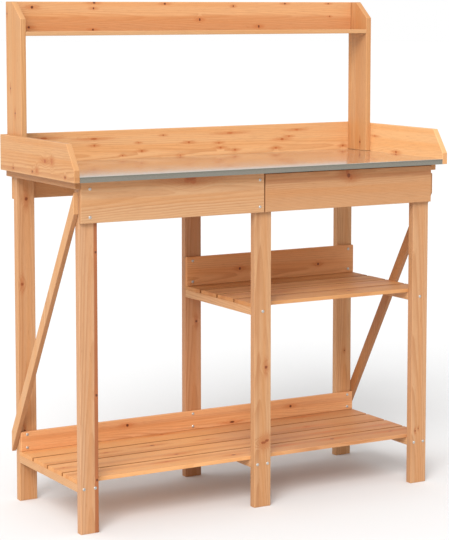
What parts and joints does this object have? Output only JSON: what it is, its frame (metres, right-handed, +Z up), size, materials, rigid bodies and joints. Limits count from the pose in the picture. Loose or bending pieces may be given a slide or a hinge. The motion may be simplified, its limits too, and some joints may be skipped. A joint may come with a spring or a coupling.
{
  "type": "potting bench",
  "caption": "Wooden garden potting bench with a metal-clad worktop between raised sides, a hutch shelf, a drawer and slatted shelves below.",
  "frame": {"origin": "on the floor, under the middle of the bench's bounding box", "axes": "+Z up, +X to the right of a person who faces the bench, -Y towards that person"},
  "size_m": [0.9998, 0.3998, 1.1818],
  "materials": {
    "fir": "planed, oiled orange-brown fir",
    "galvanised_sheet": "galvanised, dull sheen",
    "screw_steel": "zinc plated",
    "plywood": "unfinished thin plywood"
  },
  "bodies": {
    "bench": {"leg_front_left": "fir", "leg_front_center": "fir", "leg_front_right": "fir", "leg_back_left": "fir", "leg_back_center": "fir", "leg_back_right": "fir", "apron_front": "fir", "apron_back": "fir", "cleat_left": "fir", "cleat_right": "fir", "brace_left": "fir", "brace_right": "fir", "worktop_board": "fir", "side_panel_left": "fir", "side_panel_right": "fir", "upright_left": "fir", "upright_right": "fir", "backsplash": "fir", "hutch_shelf": "fir", "hutch_back_board": "fir", "lower_rail_left": "fir", "lower_rail_center": "fir", "lower_rail_right": "fir", "lower_slat_1": "fir", "lower_slat_2": "fir", "lower_slat_3": "fir", "lower_slat_4": "fir", "lower_back_board": "fir", "middle_rail_center": "fir", "middle_rail_right": "fir", "middle_slat_1": "fir", "middle_slat_2": "fir", "middle_slat_3": "fir", "middle_slat_4": "fir", "middle_back_board": "fir", "drawer_runner_left": "fir", "drawer_runner_right": "fir", "worktop_sheet": "galvanised_sheet", "apron_screw_left_low": "screw_steel", "apron_screw_left_high": "screw_steel", "apron_screw_center_low": "screw_steel", "apron_screw_center_high": "screw_steel", "lower_rail_screw_left_1": "screw_steel", "lower_rail_screw_left_2": "screw_steel", "lower_rail_screw_center_1": "screw_steel", "lower_rail_screw_center_2": "screw_steel", "lower_rail_screw_right_1": "screw_steel", "lower_rail_screw_right_2": "screw_steel", "middle_rail_screw_center": "screw_steel", "middle_rail_screw_right": "screw_steel", "middle_board_screw_center_low": "screw_steel", "middle_board_screw_center_high": "screw_steel", "middle_board_screw_right_low": "screw_steel", "middle_board_screw_right_high": "screw_steel"},
    "drawer": {"drawer_front": "fir", "drawer_inner_front": "fir", "drawer_side_left": "fir", "drawer_side_right": "fir", "drawer_back": "fir", "drawer_bottom": "plywood"}
  },
  "joints": [
    {"name": "drawer_slide", "type": "slide", "parent": "bench", "child": "drawer", "axis": [0, -1, 0], "range_m": [0, 0.22]}
  ]
}
